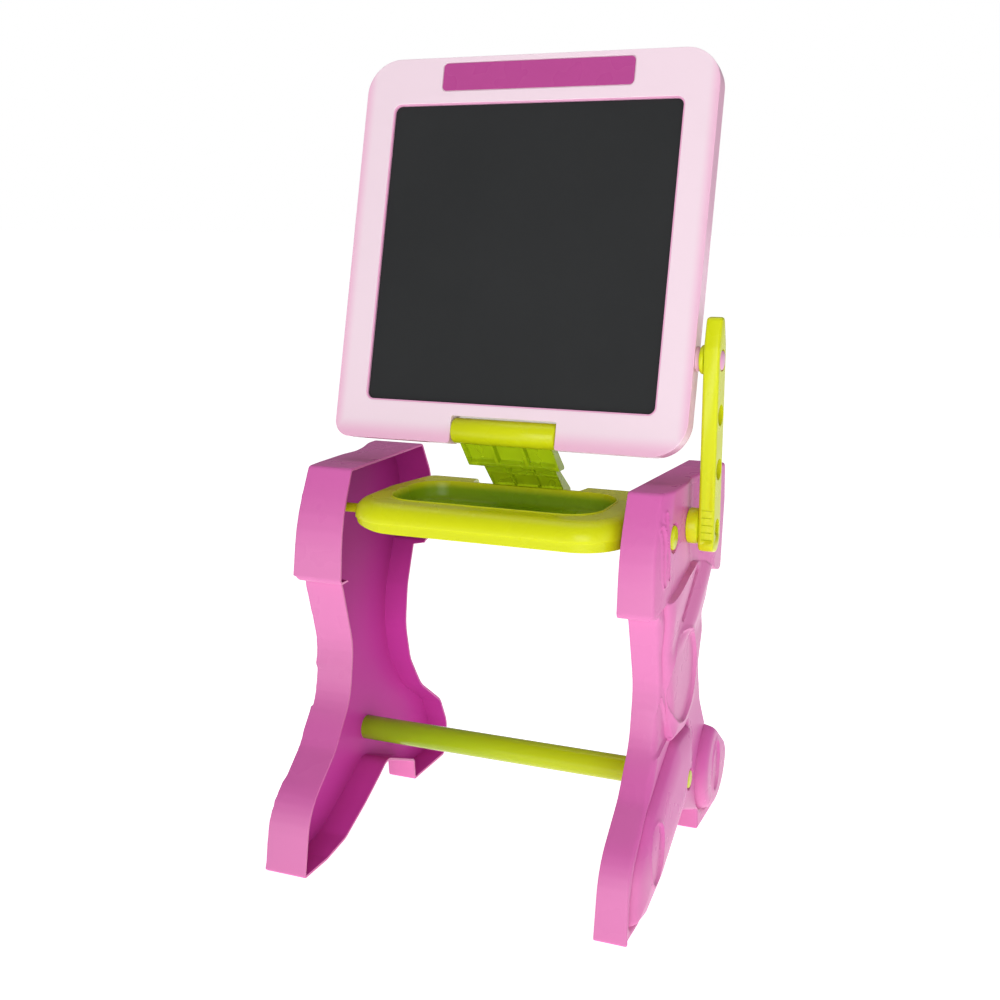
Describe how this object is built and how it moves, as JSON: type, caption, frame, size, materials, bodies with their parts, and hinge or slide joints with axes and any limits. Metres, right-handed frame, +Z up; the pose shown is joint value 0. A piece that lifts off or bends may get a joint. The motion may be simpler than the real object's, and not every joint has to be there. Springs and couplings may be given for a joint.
{
  "type": "children's easel desk",
  "caption": "Child's drawing easel: a framed black board hinged over a pen tray, on two moulded side panels with a crossbar and a perforated side arm that sets its lean",
  "frame": {"origin": "middle of the bounding box on the floor", "axes": "X to the user's right, Y from the user towards the back, Z up; the board faces -Y"},
  "size_m": [0.418, 0.3527, 0.8142],
  "materials": {
    "pale_pink_plastic": "pale pink moulded plastic, soft gloss",
    "black_board": "flat charcoal writing surface",
    "plum_plastic": "plum plastic plate, plain",
    "magenta_plastic": "magenta-pink moulded plastic, soft gloss",
    "lime_plastic": "slightly translucent lime plastic, gloss",
    "steel": "plain zinc-coated steel"
  },
  "bodies": {
    "stand": {"side_panel_left": "magenta_plastic", "side_panel_right": "magenta_plastic", "crossbar": "lime_plastic", "crossbar_plug_left": "lime_plastic", "crossbar_plug_right": "lime_plastic", "tray": "lime_plastic", "tray_plug_left": "lime_plastic", "tray_plug_right": "lime_plastic", "neck_bracket": "lime_plastic", "neck_screw_left": "steel", "neck_screw_right": "steel", "arm_pivot_boss": "lime_plastic", "arm_pivot_pin": "steel"},
    "board": {"board_front_frame": "pale_pink_plastic", "board_back_shell": "pale_pink_plastic", "board_side_boss": "pale_pink_plastic", "black_panel": "black_board", "label_plate": "plum_plastic", "hinge_pin": "steel", "board_screw_1": "steel", "board_screw_2": "steel", "board_screw_3": "steel", "board_screw_4": "steel"},
    "arm": {"support_arm": "lime_plastic", "peg_collar": "lime_plastic"},
    "peg": {"locking_peg": "magenta_plastic"}
  },
  "joints": [
    {"name": "board_tilt", "type": "hinge", "parent": "stand", "child": "board", "pos_m": [-0.004, -0.02308, 0.44236], "axis": [-1, 0, 0], "range_deg": [0, 66]},
    {"name": "arm_swing", "type": "hinge", "parent": "stand", "child": "arm", "pos_m": [0.20075, 0.0011, 0.36], "axis": [-1, 0, 0], "range_deg": [0, 90]},
    {"name": "peg_pull", "type": "slide", "parent": "arm", "child": "peg", "axis": [1, 0, 0], "range_m": [0, 0.025]}
  ]
}
